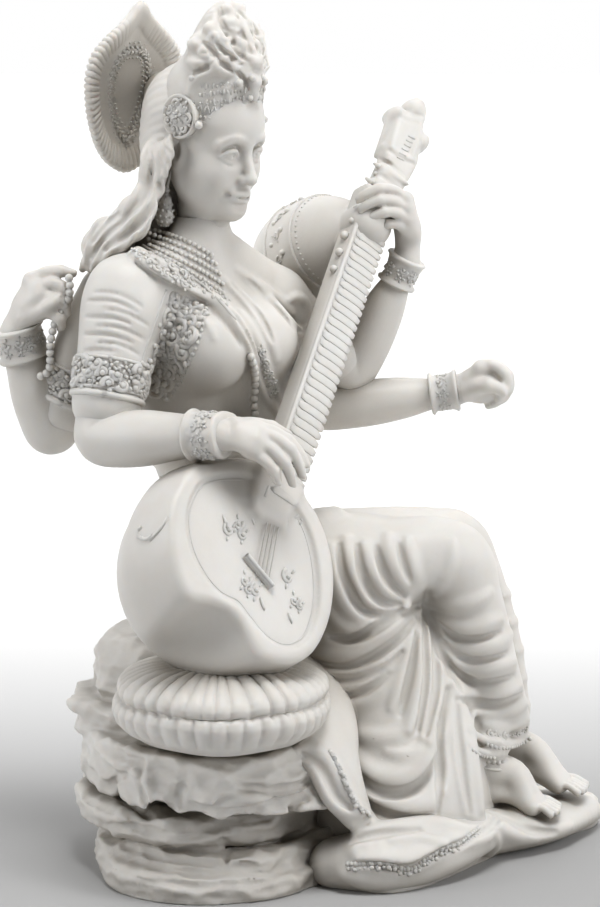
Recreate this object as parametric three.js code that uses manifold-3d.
// Saraswati figure: a seated goddess with four arms, cast in one with her veena, lotus cushion and rock.
// +X is the way her knees point, -Y is her right-hand side and +Z is up. The origin is on the flat underside.

import * as THREE from 'three';
import { mergeVertices } from 'three/addons/utils/BufferGeometryUtils.js';
import loadManifold from 'manifold-3d';

// Driving dimensions, in millimetres
const height = 260; // underside of the rock to the tip of the crown
const footingHeight = 9; // slab of rock and cloth that everything stands on
const footingBevel = 2;
const cushionRadius = 31.4;
const cushionHeight = 22;
const petalCount = 22; // petals round each tier of the cushion
const petalSwell = 0.9; // how far a petal stands out from the valleys beside it
const bowlRadius = 30.8; // round back of the veena's bowl
const boardOffset = 15.3; // centre of the bowl to the flat soundboard
const boardLip = 1.6; // raised edge round the soundboard
const neckWidth = 11.5; // across the strings
const neckDepth = 9;
const neckLength = 134;
const neckTail = 6; // how far the neck runs down over the bowl
const fretCount = 11;
const fretHeight = 1.1;
const gourdRadius = 17; // second gourd, behind the neck
const gourdDepth = 40; // back of the neck to the far end of the gourd
const gourdPlace = 102; // up the neck to the middle of the gourd
const haloRadius = 20.8; // half the width of the halo
const haloThickness = 3;
const haloHollow = 4.5; // how far the shell curves back behind the head
const haloFlutes = 24; // scallops round the rim
const haloPlace = 31.5; // how far behind the middle of the head it stands
const earDiscRadius = 5.6;
const crownBandHeight = 8;
const bangleWall = 1.3; // bangles and armlets over the skin
const foldDepth = 0.9; // folds of the skirt round each leg
const pleatCount = 13; // pleats round the fall of the skirt
const toeCount = 5;
const toePitch = 2.3;

// The places and girths of the pose are written for a figure 260 high
const share = height / 260;
const fullTurn = 2 * Math.PI;
const degree = Math.PI / 180;
const wasm = await loadManifold();
wasm.setup();

function at(x, y, z) {
  return new THREE.Vector3(x, y, z).multiplyScalar(share);
}

function solid(geometry) {
  geometry.deleteAttribute('normal');
  geometry.deleteAttribute('uv');
  const merged = mergeVertices(geometry, 1e-4);
  return new wasm.Manifold(new wasm.Mesh({
    numProp: 3,
    vertProperties: new Float32Array(merged.attributes.position.array),
    triVerts: new Uint32Array(merged.index.array),
  }));
}

function joined(solids) {
  return solids.reduce((whole, piece) => whole.add(piece));
}

// A closed body round a line of stations, each [x, y, z, half width, half depth, turn of the front].
// The rings of a sphere are carried along the line, and its two poles become the rounded ends.
function limb(stations, { front, sides = 8, rings = 4, ends = [2, 2], relief } = {}) {
  const line = new THREE.CatmullRomCurve3(stations.map(([x, y, z]) => at(x, y, z)));
  const girth = new THREE.CatmullRomCurve3(
    stations.map(([, , , wide, deep, turn = 0]) => new THREE.Vector3(wide, deep, turn)),
    false,
    'catmullrom',
  );
  const rows = rings + 2;
  const geometry = new THREE.SphereGeometry(1, sides, rows);
  const position = geometry.attributes.position;
  for (let row = 0; row <= rows; row += 1) {
    const t = THREE.MathUtils.clamp((row - 1) / rings, 0, 1);
    const pastEnd = { 0: -ends[0], [rows]: ends[1] }[row] ?? 0;
    const tangent = line.getTangent(t);
    const centre = line.getPoint(t).addScaledVector(tangent, pastEnd * share);
    const { x: wide, y: deep, z: turn } = girth.getPoint(t);
    const facing = front ?? new THREE.Vector3(Math.cos(turn * degree), -Math.sin(turn * degree), 0);
    const ahead = facing.clone().addScaledVector(tangent, -facing.dot(tangent)).normalize();
    const aside = ahead.clone().cross(tangent);
    for (let column = 0; column <= sides; column += 1) {
      const angle = (column / sides) * fullTurn;
      const swell = relief ? relief(t, angle) : 0;
      const reach = pastEnd === 0 ? share : 0;
      const point = centre.clone()
        .addScaledVector(aside, Math.sin(angle) * (wide + swell) * reach)
        .addScaledVector(ahead, Math.cos(angle) * (deep + swell) * reach);
      position.setXYZ(row * (sides + 1) + column, point.x, point.y, point.z);
    }
  }
  return solid(geometry);
}

function ball(centre, radii, sides = 8, rows = 5) {
  const geometry = new THREE.SphereGeometry(1, sides, rows);
  geometry.scale(...radii.map((radius) => radius * share));
  geometry.translate(centre.x, centre.y, centre.z);
  return solid(geometry);
}

// Turns a geometry so that its own +Z points along the given direction, then sets it in place.
function aimed(geometry, direction, place) {
  const up = new THREE.Vector3(0, 0, 1);
  geometry.applyQuaternion(new THREE.Quaternion().setFromUnitVectors(up, direction.clone().normalize()));
  geometry.translate(place.x, place.y, place.z);
  return geometry;
}

function lathed(profile, sides) {
  const geometry = new THREE.LatheGeometry(profile.map(([radius, z]) => new THREE.Vector2(radius, z)), sides);
  return geometry.rotateX(Math.PI / 2);
}

// Rock and the cloth that lies on it
const footprint = [
  [-73, -6], [-71, -27], [-66, -47], [-55, -58], [-40, -62], [-25, -59], [-13, -52],
  [-3, -38], [6, -48], [16, -51], [28, -43], [44, -21], [58, -2], [76, 11],
  [84, 22], [82, 35], [62, 42], [30, 44], [-5, 45], [-38, 42], [-63, 27],
];

function footing() {
  const edge = footprint.map(([x, y]) => new THREE.Vector2(x, y).multiplyScalar(share));
  const outline = new THREE.Shape();
  outline.moveTo(edge[0].x, edge[0].y);
  outline.splineThru([...edge.slice(1), edge[0]]);
  const rise = footingHeight - 2 * footingBevel;
  const geometry = new THREE.ExtrudeGeometry(outline, {
    depth: rise,
    curveSegments: 1,
    bevelThickness: footingBevel,
    bevelSize: footingBevel,
    bevelOffset: -footingBevel,
    bevelSegments: 1,
  });
  return solid(geometry.translate(0, 0, footingBevel));
}

function stratum(x, y, bottom, top, halfLength, halfWidth, lean, seed) {
  const roughness = (t, angle) => {
    const lumps = 1.7 * Math.sin(3 * angle + seed);
    const cracks = 1.2 * Math.sin(5 * angle + 2.3 * seed + 3 * t);
    return lumps + cracks + 0.8 * Math.sin(9 * angle - seed);
  };
  const middle = (bottom + top) / 2;
  return limb([
    [x, y, bottom, 0.9 * halfWidth, 0.9 * halfLength],
    [x + lean / 2, y, middle, halfWidth, halfLength],
    [x + lean, y, top, 0.9 * halfWidth, 0.9 * halfLength],
  ], { sides: 10, rings: 2, ends: [1, 1.5], relief: roughness });
}

function rock() {
  return joined([
    footing(),
    stratum(-35, -9, 3, 13, 37, 49, -2, 0.4),
    stratum(-40, -9, 13, 27, 41, 48, -1, 1.9),
    stratum(-32, -10, 27, 41, 41, 51, -3, 3.1),
    stratum(-51, 4, 37, 46, 31, 32, -2, 4.2),
    stratum(-36, 10, 44, 64, 37, 31, 6, 5.3),
    stratum(-24, 13, 60, 84, 28, 25, 3, 0.9),
  ]);
}

// Lotus cushion under the veena: two tiers of petals, swelling between the lines that part them
const bowlCentre = at(-34, -38, 94.5);

function cushion() {
  const top = bowlCentre.z - 0.9 * bowlRadius;
  const bottom = top - cushionHeight;
  const level = (portion) => bottom + portion * cushionHeight;
  const profile = [[0, 0], [0.84, 0], [1, 0.28], [0.94, 0.53], [1, 0.7], [0.8, 1], [0, 1]];
  const outline = profile.map(([part, portion]) => [part * cushionRadius, level(portion)]);
  const geometry = lathed(outline, 2 * petalCount);
  const position = geometry.attributes.position;
  for (let index = 0; index < position.count; index += 1) {
    const x = position.getX(index);
    const y = position.getY(index);
    const swell = 1 + (petalSwell * Math.cos(Math.atan2(y, x) * petalCount)) / cushionRadius;
    position.setXYZ(index, x * swell, y * swell, position.getZ(index));
  }
  return solid(geometry.translate(bowlCentre.x, bowlCentre.y, 0));
}

// Veena
const boardNormal = new THREE.Vector3(0.59, -0.71, 0.39).normalize();
const neckLine = new THREE.Vector3(0.277, 0.629, 0.726);
neckLine.addScaledVector(boardNormal, -neckLine.dot(boardNormal)).normalize();
const neckRoot = at(-15.5, -34, 119);
const neckTop = neckRoot.clone().addScaledVector(neckLine, neckLength * share);
const acrossNeck = boardNormal.clone().cross(neckLine);

function veenaBowl() {
  const boardHeight = boardOffset / bowlRadius;
  const boardRadius = Math.sqrt(1 - boardHeight ** 2) * bowlRadius;
  const roundBack = [];
  const steps = 6;
  const rimAngle = Math.asin(boardHeight);
  for (let step = 0; step <= steps; step += 1) {
    const angle = -Math.PI / 2 + (step / steps) * (rimAngle + Math.PI / 2);
    roundBack.push([bowlRadius * Math.cos(angle), bowlRadius * Math.sin(angle)]);
  }
  roundBack[0][0] = 0;
  const profile = [
    ...roundBack,
    [boardRadius - 0.3 * boardLip, boardOffset + 0.6 * boardLip],
    [boardRadius - 1.3 * boardLip, boardOffset + 0.5 * boardLip],
    [boardRadius - 2 * boardLip, boardOffset - 0.2 * boardLip],
    [0, boardOffset - 0.2 * boardLip],
  ];
  return solid(aimed(lathed(profile, 18), boardNormal, bowlCentre));
}

// The neck is drawn from the side, with its frets standing up from the face, and drawn out to its width
function veenaNeck() {
  const length = neckTop.distanceTo(neckRoot);
  const pitch = (0.74 * length) / fretCount;
  const side = new THREE.Shape();
  side.moveTo(0, -neckDepth);
  side.lineTo(0, 0);
  for (let fret = 0; fret < fretCount; fret += 1) {
    const start = (fret + 0.9) * pitch;
    const end = start + 0.45 * pitch;
    side.lineTo(start, 0);
    side.lineTo(start, fretHeight);
    side.lineTo(end, fretHeight);
    side.lineTo(end, 0);
  }
  side.lineTo(length, 0);
  side.lineTo(length, -neckDepth);
  side.lineTo(0, -neckDepth);
  const geometry = new THREE.ExtrudeGeometry(side, { depth: neckWidth, bevelEnabled: false });
  geometry.translate(-neckTail, 0, -neckWidth / 2);
  geometry.applyMatrix4(new THREE.Matrix4().makeBasis(neckLine, boardNormal, acrossNeck.clone().negate()));
  return solid(geometry.translate(neckRoot.x, neckRoot.y, neckRoot.z));
}

// Carved beast's head that ends the neck: a snout, a brow and a crest
function veenaHead() {
  const inNeck = (across, out, up) => (
    neckTop.clone()
      .addScaledVector(acrossNeck, across * share)
      .addScaledVector(boardNormal, out * share)
      .addScaledVector(neckLine, up * share)
  );
  return joined([
    ball(inNeck(1, -4, -3), [7.5, 6, 10], 7, 5),
    ball(inNeck(-3, -3, 7), [6, 5, 9], 7, 5),
    ball(inNeck(-7, -3, -4), [4.5, 4, 5], 6, 4),
  ]);
}

function gourd() {
  const anchor = neckRoot.clone()
    .addScaledVector(neckLine, gourdPlace * share)
    .addScaledVector(boardNormal, -neckDepth);
  const profile = [
    [0, -0.08], [0.42, -0.08], [0.42, 0.1], [0.78, 0.28], [1, 0.5],
    [0.98, 0.68], [0.72, 0.88], [0.35, 0.98], [0, 1],
  ];
  const away = boardNormal.clone().negate();
  const body = lathed(profile.map(([part, portion]) => [part * gourdRadius, portion * gourdDepth]), 12);
  return solid(aimed(body, away, anchor));
}

// Body, from the hips to the neck
const trunk = [
  [-32, 8, 88, 27, 22, 10],
  [-35, 8, 104, 22, 18, 28],
  [-37.5, 8, 117, 18.5, 14.5, 40],
  [-41.5, 7.5, 132, 19.5, 15, 48],
  [-42.5, 6.5, 148, 22.5, 16, 50],
  [-42, 5.5, 160, 25, 16.5, 50],
  [-41.5, 5, 170, 27, 14, 50],
  [-41.5, 5, 179, 21, 11, 50],
  [-41.5, 4.5, 186, 10, 9, 50],
];

// A place on the trunk's skin at a given height, so many degrees round from its front towards her right
function onTrunk(z, around) {
  const upper = Math.max(1, trunk.findIndex((station) => station[2] >= z));
  const [below, above] = [trunk[upper - 1], trunk[upper]];
  const portion = (z - below[2]) / (above[2] - below[2]);
  const [x, y, , wide, deep, turn] = below.map((value, index) => value + (above[index] - value) * portion);
  const forward = deep * Math.cos(around * degree);
  const right = wide * Math.sin(around * degree);
  return [
    x + forward * Math.cos(turn * degree) - right * Math.sin(turn * degree),
    y - forward * Math.sin(turn * degree) - right * Math.cos(turn * degree),
    z,
  ];
}

function torso() {
  const chest = limb(trunk, { sides: 10, rings: 8, ends: [4, 3] });
  const rightBreast = ball(at(-38.5, -11, 158), [12.5, 12.5, 13], 8, 5);
  const leftBreast = ball(at(-22.5, 3.5, 157), [12.5, 12, 12.5], 8, 5);
  const throat = limb([
    [-42, 5, 178, 9.5, 9, 50], [-40.5, 4, 192, 8, 8, 45], [-40, 4, 206, 8.5, 8.5, 40],
  ], { rings: 3 });
  return joined([chest, rightBreast, leftBreast, throat]);
}

// Collar, and the lace edges of the sash and the bodice, worn over the chest
function jewellery() {
  const collar = limb([
    [-41.5, 4, 174, 20, 15, 50], [-41.5, 4, 180, 16.5, 14, 50], [-41, 4, 187, 11, 11, 50],
  ], { sides: 14, rings: 2, ends: [1, 1], relief: (t, angle) => 0.5 * Math.cos(7 * angle) });
  const scalloped = (count) => (t) => 0.4 * Math.cos(count * fullTurn * t);
  const sash = limb([
    [...onTrunk(183, 80), 4, 2], [...onTrunk(176, 60), 4.5, 2.4], [...onTrunk(168, 30), 4, 2.6],
    [...onTrunk(158, 0), 3, 2.4], [...onTrunk(146, -8), 2.6, 2], [...onTrunk(134, -6), 2.4, 2],
  ], { front: new THREE.Vector3(0.3, -0.9, 0.2), sides: 4, rings: 10, relief: scalloped(5) });
  const lace = limb([
    [...onTrunk(173, 68), 5, 2.4], [...onTrunk(160, 72), 6, 2.4], [...onTrunk(148, 76), 6.5, 2.4],
    [...onTrunk(138, 80), 6, 2.4],
  ], { front: new THREE.Vector3(-0.2, -0.95, 0.1), sides: 4, rings: 6, relief: scalloped(3) });
  return joined([collar, sash, lace]);
}

// Arms. Each is an upper arm, with or without an armlet, and a forearm that ends in a bangle.
function arm(shoulder, elbow, wrist, girths, armlet = 0) {
  const [atShoulder, midUpper, atElbow, midLower, atWrist] = girths;
  const along = (from, to, portion) => from.map((value, index) => value + (to[index] - value) * portion);
  const upper = limb([
    [...shoulder, 0.8 * atShoulder, 0.8 * atShoulder],
    [...along(shoulder, elbow, 0.2), atShoulder, atShoulder],
    [...along(shoulder, elbow, 0.5), midUpper, midUpper],
    [...along(shoulder, elbow, 0.8), atElbow, atElbow],
    [...elbow, 0.85 * atElbow, 0.85 * atElbow],
  ], {
    front: new THREE.Vector3(0, -1, 0),
    sides: 6,
    ends: [0.5 * atShoulder, 0.7 * atElbow],
    relief: (t) => (Math.abs(t - 0.75) < 0.1 ? armlet : 0),
  });
  const lower = limb([
    [...elbow, 0.85 * atElbow, 0.85 * atElbow],
    [...along(elbow, wrist, 0.2), atElbow, atElbow],
    [...along(elbow, wrist, 0.5), midLower, midLower],
    [...wrist, atWrist, atWrist],
  ], {
    front: new THREE.Vector3(0, -0.6, 0.8),
    sides: 6,
    rings: 5,
    ends: [0.7 * atElbow, 1],
    relief: (t) => (t > 0.75 ? bangleWall : 0),
  });
  return joined([upper, lower]);
}

// A hand: the palm, then each finger as a short limb through its knuckles
function hand(palm, fingers, width = 1.6) {
  const back = new THREE.Vector3(0.1, -0.7, 0.7);
  const parts = [limb(palm, { front: back, sides: 6, rings: 2, ends: [5, 1.5] })];
  fingers.forEach((joints) => {
    const stations = joints.map(([x, y, z], index) => {
      const girth = width - 0.22 * index;
      return [x, y, z, girth, girth];
    });
    parts.push(limb(stations, { front: back, sides: 4, rings: 2, ends: [0.8, 0.8] }));
  });
  return joined(parts);
}

const rightShoulder = [-63, -13, 174];
const rightElbow = [-70, -25, 132];
const rightWrist = [-40, -44, 138];
const rearShoulder = [-70, 3, 168];
const rearElbow = [-87, 5, 129];
const rearWrist = [-96, 1, 160];
const leftShoulder = [-18, 24, 166];
const raisedElbow = [6, 38, 143];
const raisedWrist = [22, 34, 178];
const heldShoulder = [-20, 28, 163];
const heldElbow = [-4, 38, 131];
const heldWrist = [38, 35, 137.5];

function arms() {
  return joined([
    arm(rightShoulder, rightElbow, rightWrist, [12, 10.2, 8.8, 7.8, 5.6], bangleWall),
    arm(rearShoulder, rearElbow, rearWrist, [10, 9.2, 8.6, 8, 6], bangleWall),
    arm(leftShoulder, raisedElbow, raisedWrist, [10.5, 9, 7.8, 7.4, 5]),
    arm(heldShoulder, heldElbow, heldWrist, [10, 9, 7.6, 7, 4.8]),
  ]);
}

function hands() {
  const plucking = hand(
    [[-35, -44.5, 138, 6, 4.2], [-29, -45, 138, 7, 4], [-23.5, -45, 136.5, 7, 3.4]],
    [
      [[-24, -43, 140], [-16, -42, 137], [-10.5, -41, 131]],
      [[-23, -45.5, 137], [-15, -45, 134], [-11.5, -43.5, 127.5]],
      [[-24, -47, 134], [-18, -47, 130], [-14, -45.5, 125.5]],
      [[-26, -47.5, 131.5], [-21, -48, 128], [-18.5, -46.5, 124.5]],
      [[-30, -41, 141], [-22, -37, 140], [-16, -36, 137]],
    ],
  );
  const counting = hand(
    [[-95, 0.5, 163, 5.5, 5], [-91.5, -1, 171, 7, 5], [-87, -2, 177, 6, 4.2]],
    [
      [[-90, -1, 178], [-84, -3.5, 181.5], [-77.5, -4.5, 181]],
      [[-87, -4, 175], [-81.5, -6, 177.5], [-78, -6.5, 173.5]],
      [[-86, -5, 171], [-81.5, -7, 172.5], [-79, -7, 168.5]],
      [[-87, -5, 167], [-83, -7.5, 168], [-81, -7.5, 164]],
      [[-92, -5, 167], [-87, -8, 170], [-83, -8.5, 174]],
    ],
  );
  const stopping = hand(
    [[22.5, 34, 181, 4.6, 5.4], [24, 34.5, 188, 5, 6.5], [22, 33, 196, 4, 6]],
    [
      [[23, 32, 197], [16, 26.5, 202], [8, 25, 200.5]],
      [[23, 31, 193.5], [16, 25.5, 198], [8.5, 24.5, 196.5]],
      [[23, 30.5, 190], [17.5, 25, 193.5], [10.5, 23.5, 192]],
      [[23.5, 32, 186], [19, 27, 189], [14, 25, 188]],
      [[23, 39, 190], [18, 43, 197], [12, 43, 201]],
    ],
  );
  const fist = hand(
    [[41, 35, 139, 5, 5], [47, 34.5, 141, 7, 6], [51, 34, 140, 6.5, 6]],
    [
      [[48, 33, 146.5], [54, 31.5, 145.5], [55, 30.5, 140]],
      [[50, 31, 143.5], [56, 30.5, 142], [55, 29.5, 137]],
      [[49, 30.5, 139], [54.5, 30, 137.5], [52.5, 29.5, 134.5]],
      [[46.5, 31, 135.5], [51.5, 30.5, 134], [50, 30, 132.5]],
      [[45, 29.5, 142], [49.5, 27.5, 140.5], [52, 28, 137]],
    ],
    2,
  );
  const beaded = (t) => 0.3 * Math.cos(4 * fullTurn * t);
  const rosary = limb([
    [-82.5, -7.4, 172, 1, 1], [-79, -8.5, 161, 1.1, 1.1], [-80, -8, 153, 1.2, 1.2],
    [-84, -7.5, 150, 1.2, 1.2], [-88, -7, 155, 1.2, 1.2],
  ], { front: new THREE.Vector3(0, -1, 0), sides: 4, rings: 8, relief: beaded });
  return joined([plucking, counting, stopping, fist, rosary]);
}

// Head. It faces 40 degrees round from +X towards her right, and bends forward a little.
const headCentre = at(-38.5, 4, 221);
const headTurn = 40 * degree;
const headNod = 8 * degree;
const faceAhead = new THREE.Vector3(1, 0, 0)
  .applyAxisAngle(new THREE.Vector3(0, 1, 0), headNod)
  .applyAxisAngle(new THREE.Vector3(0, 0, 1), -headTurn);
const faceLeft = new THREE.Vector3(Math.sin(headTurn), Math.cos(headTurn), 0);
const faceUp = faceAhead.clone().cross(faceLeft);

function inHead(ahead, left, up) {
  return headCentre.clone()
    .addScaledVector(faceAhead, ahead * share)
    .addScaledVector(faceLeft, left * share)
    .addScaledVector(faceUp, up * share);
}

function headBall(ahead, left, up, deep, wide, tall, sides = 12, rows = 8) {
  const geometry = new THREE.SphereGeometry(1, sides, rows);
  geometry.rotateX(Math.PI / 2);
  geometry.scale(deep * share, wide * share, tall * share);
  geometry.applyMatrix4(new THREE.Matrix4().makeBasis(faceAhead, faceLeft, faceUp));
  const place = inHead(ahead, left, up);
  return solid(geometry.translate(place.x, place.y, place.z));
}

function head() {
  const eyes = [-1, 1].map((side) => headBall(12.8, side * 5.3, -3.2, 2.2, 2.8, 1.4, 6, 4));
  return joined([
    headBall(1.5, 0, 4, 15.8, 13.4, 15.5, 10, 7),
    headBall(4.4, 0, -8, 11.4, 10.6, 16.5, 10, 7),
    headBall(10.6, 0, -20, 4.4, 4.4, 3.8, 7, 4),
    headBall(15.4, 0, -8.2, 3.2, 2.2, 2.2, 6, 4),
    headBall(14, 0, -4, 2.8, 1.4, 5.5, 5, 4),
    headBall(13.2, 0, -14.6, 2.2, 3.1, 1.6, 6, 4),
    ...eyes,
  ]);
}

function hair() {
  const cap = headBall(-6.5, 0, 4.5, 16, 15.4, 17, 10, 6);
  const knot = joined([headBall(-18, 5, 5, 8, 9, 10, 7, 4), headBall(-27, 11, 5, 8.5, 7, 8.5, 7, 4)]);
  const behindHead = limb([
    [-51, 6, 222, 11, 10], [-55, 5, 208, 9.5, 9], [-59, 4, 198, 9.5, 8],
    [-66, 3, 190, 9, 7], [-73, 1, 182, 7, 5], [-76, 1, 176, 4, 3],
  ], { front: new THREE.Vector3(-0.5, 0, 0.8), sides: 8, rings: 6 });
  const lockGirths = [[2.4, 2], [3, 2.2], [3, 2.4], [2.8, 2.2], [1.8, 1.6]];
  const locks = [
    [[-52, -6, 215], [-55, -8, 206], [-61, -8, 197], [-69, -7, 190], [-76, -5, 182]],
    [[-50, -9, 212], [-53, -11, 202], [-58, -12, 193], [-65, -11, 187], [-71, -9, 182]],
    [[-56, -2, 213], [-59, -3, 204], [-65, -3, 197], [-72, -2, 190], [-77, -2, 181]],
  ].map((places) => limb(
    places.map((place, index) => [...place, ...lockGirths[index]]),
    { front: new THREE.Vector3(-0.3, -0.8, 0.5), sides: 4, rings: 4 },
  ));
  return joined([cap, knot, behindHead, ...locks]);
}

// Crown: a beaded band round the brow, and above it a tall point of overlapping leaves
function crown() {
  const band = new THREE.CylinderGeometry(16.4, 16.2, crownBandHeight, 14);
  band.rotateX(Math.PI / 2);
  band.scale(share, 0.93 * share, share);
  band.applyMatrix4(new THREE.Matrix4().makeBasis(faceAhead, faceLeft, faceUp));
  const place = inHead(-2.4, 0, 9);
  const inPoint = (ahead, up, wide, deep) => {
    const spot = inHead(ahead, 0, up).divideScalar(share);
    return [spot.x, spot.y, spot.z, wide, deep];
  };
  const leaves = (t, angle) => 0.8 * Math.cos(7 * angle + (Math.round(7 * t) % 2) * Math.PI);
  const point = limb([
    inPoint(1, 12, 14.4, 13.5), inPoint(3, 18, 13.6, 10.5), inPoint(3, 24, 12.4, 9), inPoint(2.4, 30, 9.6, 7),
    inPoint(1.8, 35, 6.4, 4.8), inPoint(1.6, 37.7, 2.6, 2.6),
  ], { front: faceAhead, sides: 14, rings: 7, ends: [2, 1.4], relief: leaves });
  return joined([solid(band.translate(place.x, place.y, place.z)), point]);
}

function earJewel(side) {
  const outward = faceLeft.clone().multiplyScalar(side);
  const radius = earDiscRadius * share;
  const disc = lathed([[0, -4], [radius, -4], [radius, 0.6], [0, 2]], 10);
  return joined([
    solid(aimed(disc, outward, inHead(1.5, side * 14.6, 6))),
    headBall(-3, side * 12.6, -23.5, 2.6, 1.6, 4.6, 6, 4),
    headBall(-3, side * 12.9, -9, 1.2, 1.2, 12, 5, 4),
  ]);
}

// Halo: a leaf-shaped shell behind the head, pointed at the top, with a fluted rim
// Its outline is given as shares of half its width, from the tip down one side to the foot
const haloSide = [
  [0.1, 1.3], [0.2, 1.18], [0.42, 1], [0.7, 0.8], [0.92, 0.57], [1, 0.26], [0.97, -0.03], [0.9, -0.3],
  [0.78, -0.56], [0.62, -0.8], [0.38, -1],
];

function halo() {
  const outline = new THREE.CatmullRomCurve3([
    [0, 1.35],
    ...haloSide,
    [0, -1.1],
    ...haloSide.map(([across, up]) => [-across, up]).reverse(),
  ].map(([across, up]) => new THREE.Vector3(across * haloRadius, up * haloRadius, 0)), true);
  const columns = 2 * haloFlutes;
  const rows = 4;
  const geometry = new THREE.SphereGeometry(1, columns, rows);
  const position = geometry.attributes.position;
  const middle = inHead(-haloPlace, 0, 6.5);
  for (let row = 0; row <= rows; row += 1) {
    const reach = Math.sin((row / rows) * Math.PI);
    const face = Math.sign(rows / 2 - row);
    for (let column = 0; column <= columns; column += 1) {
      const turn = column / columns;
      const flute = 1 + 0.016 * Math.cos(haloFlutes * turn * fullTurn);
      const edge = outline.getPoint(turn % 1).multiplyScalar(flute * reach * share);
      const point = middle.clone()
        .addScaledVector(faceLeft, -edge.x)
        .addScaledVector(faceUp, edge.y)
        .addScaledVector(faceAhead, (haloHollow * (reach ** 2 - 1) + (face * haloThickness) / 2) * share);
      position.setXYZ(row * (columns + 1) + column, point.x, point.y, point.z);
    }
  }
  return solid(geometry);
}

// Legs under the wrapped skirt, and the cloth that falls between them to the rock
function legs() {
  const upward = new THREE.Vector3(0, 0, 1);
  const forward = new THREE.Vector3(1, 0, 0);
  const wrapped = (count) => (t, angle) => foldDepth * Math.cos(count * fullTurn * t + 0.8 * Math.sin(angle));
  const nearThigh = limb([
    [-34, -2, 88, 17, 14], [-12, -3, 88.5, 17, 14], [10, -3, 89, 15, 13.8],
    [29, -1, 90.5, 13, 13.3], [38, 0, 90, 11, 11.6], [44, 0, 88, 6, 7],
  ], { front: upward, sides: 9, rings: 11, ends: [6, 3], relief: wrapped(5) });
  const nearShin = limb([
    [37, 0, 96, 7, 8], [40, 0, 88, 11, 11], [42, 0, 74, 10.5, 11], [45, 0, 59, 9.5, 10],
    [47.5, 0, 46, 8.5, 8.5],
  ], { front: forward, sides: 9, rings: 9, ends: [3, 8], relief: wrapped(4) });
  const farThigh = limb([
    [-30, 22, 86, 16, 14], [-5, 24, 87, 15.5, 13.5], [20, 25, 89, 13.5, 13], [37, 24, 89.5, 11, 11.6],
    [43, 24, 88, 6, 7],
  ], { front: upward, rings: 4, ends: [6, 3] });
  const farShin = limb([
    [38, 24, 95, 7, 8], [41, 24, 87, 11, 11], [45, 23, 72, 10.5, 11], [49, 21, 56, 9, 9.5],
    [52, 20, 42, 7.5, 8], [53, 19, 36, 7, 7.5],
  ], { front: forward, sides: 7, rings: 6, ends: [3, 8], relief: wrapped(3) });
  const lap = limb([
    [-20, 10, 90, 24, 12], [8, 11, 91, 22, 10.5], [28, 12, 92, 18, 9],
  ], { front: upward, rings: 3, ends: [6, 6] });
  return joined([nearThigh, nearShin, farThigh, farShin, lap]);
}

function skirtFall() {
  const pleats = (t, angle) => (0.5 + 1.3 * t) * Math.cos(pleatCount * angle);
  return limb([
    [6, 4, 88, 19, 21], [10, 3, 72, 20, 22], [14, 2, 54, 22, 23], [20, 0, 34, 26, 25], [21, -3, 18, 32, 27],
    [21, -4, 6, 34, 29],
  ], { sides: 2 * pleatCount, rings: 6, ends: [3, 2], relief: pleats });
}

// The fringed end of the shawl, lying over the rock and folded on the ground in front of it
function shawl() {
  const overRock = limb([
    [-20, -8, 66, 14, 4], [-6, -26, 52, 13, 4], [-1, -40, 38, 10, 3.5], [8, -42, 24, 6, 3],
  ], { front: new THREE.Vector3(0.6, -0.6, 0.6), rings: 4 });
  const pile = limb([
    [2, -40, 8, 9, 8], [14, -40, 9, 11, 9], [30, -28, 9, 11, 8], [44, -14, 9, 9, 6],
  ], { front: new THREE.Vector3(0, 0, 1), sides: 9, rings: 4, ends: [4, 4] });
  const tread = limb([
    [34, 4, 6, 26, 6], [54, 10, 6, 22, 5.5], [70, 18, 5.5, 15, 5], [78, 23, 5, 10, 4.5],
  ], { front: new THREE.Vector3(0, 0, 1), sides: 9, rings: 3, ends: [4, 4] });
  return joined([overRock, pile, tread]);
}

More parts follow.
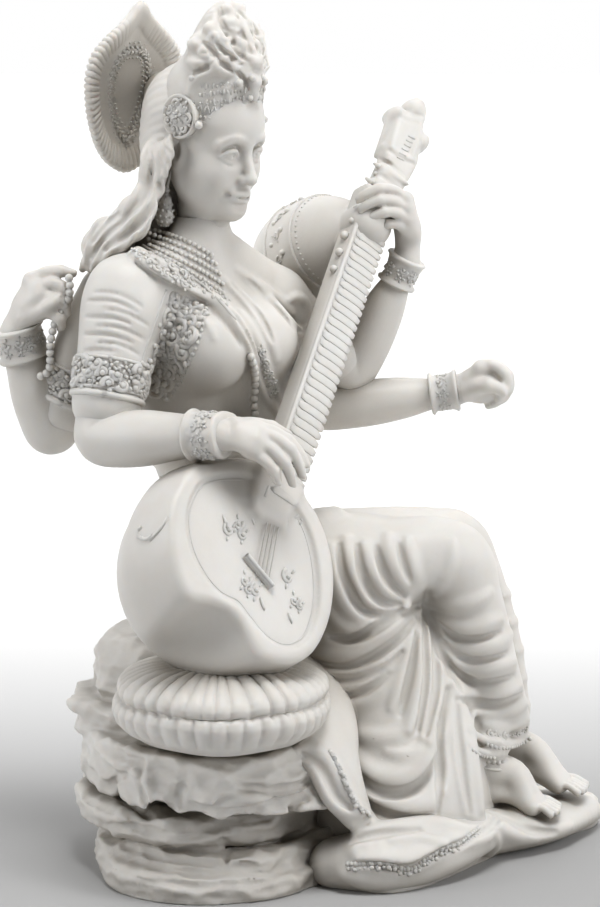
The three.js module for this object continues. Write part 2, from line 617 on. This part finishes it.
// Feet, bare below the hem, each with an anklet and five toes
function foot(ankle, heel, toeRoot, toeTip) {
  const [rootX, rootY, rootZ] = toeRoot;
  const sole = limb([
    [heel[0] - 3, heel[1], heel[2], 4.2, 4.2],
    [heel[0] + 5, heel[1], heel[2] + 1.5, 4.8, 6],
    [(heel[0] + rootX) / 2 + 2, rootY, (heel[2] + rootZ) / 2 + 1, 5.2, 5],
    [rootX, rootY, rootZ, 5.8, 3.2],
  ], { front: new THREE.Vector3(0, 0, 1), sides: 6, rings: 3 });
  const shank = limb([
    [ankle[0] - 0.5, ankle[1], ankle[2] + 9, 5.6, 6],
    [ankle[0], ankle[1], ankle[2], 4.6, 5],
    [heel[0] + 3, heel[1], heel[2] + 4, 4.6, 5.4],
  ], { sides: 6, rings: 4, relief: (t) => (Math.abs(t - 0.5) < 0.1 ? bangleWall : 0) });
  const toes = [];
  for (let toe = 0; toe < toeCount; toe += 1) {
    const across = (toe - 2) * toePitch;
    const reach = 0.5 - 0.03 * toe * toe;
    const middle = at(rootX + (toeTip[0] - rootX) * reach, rootY + across, toeTip[2]);
    toes.push(ball(middle, [4.4, 1.3, 1.8], 4, 3));
  }
  return joined([sole, shank, ...toes]);
}

function feet() {
  return joined([
    foot([44.5, -3, 33], [45, -3, 18], [63, -2.5, 15], [70, -2.5, 14]),
    foot([53.5, 18, 33], [54, 18, 20], [73, 18.5, 15.5], [81, 18.5, 14.5]),
  ]);
}

// The one casting
const castMarble = new THREE.MeshStandardMaterial({ color: 0xe9e6e1, roughness: 0.55, metalness: 0 });

function saraswatiFigure() {
  const everything = joined([
    rock(), cushion(), veenaBowl(), veenaNeck(), veenaHead(), gourd(), torso(), jewellery(), arms(), hands(),
    head(), hair(), crown(), earJewel(-1), earJewel(1), halo(), legs(), skirtFall(), shawl(), feet(),
  ]);
  const belowGround = new THREE.BoxGeometry(height, height, footingHeight);
  const whole = everything.subtract(solid(belowGround.translate(0, 0, -footingHeight / 2)));
  const { vertProperties, triVerts } = whole.getMesh();
  const geometry = new THREE.BufferGeometry();
  geometry.setAttribute('position', new THREE.BufferAttribute(vertProperties, 3));
  geometry.setIndex(new THREE.BufferAttribute(triVerts, 1));
  const mesh = new THREE.Mesh(geometry, castMarble);
  mesh.name = 'saraswati_figure';
  return mesh;
}

const group = new THREE.Group();
group.add(saraswatiFigure());

export default group;
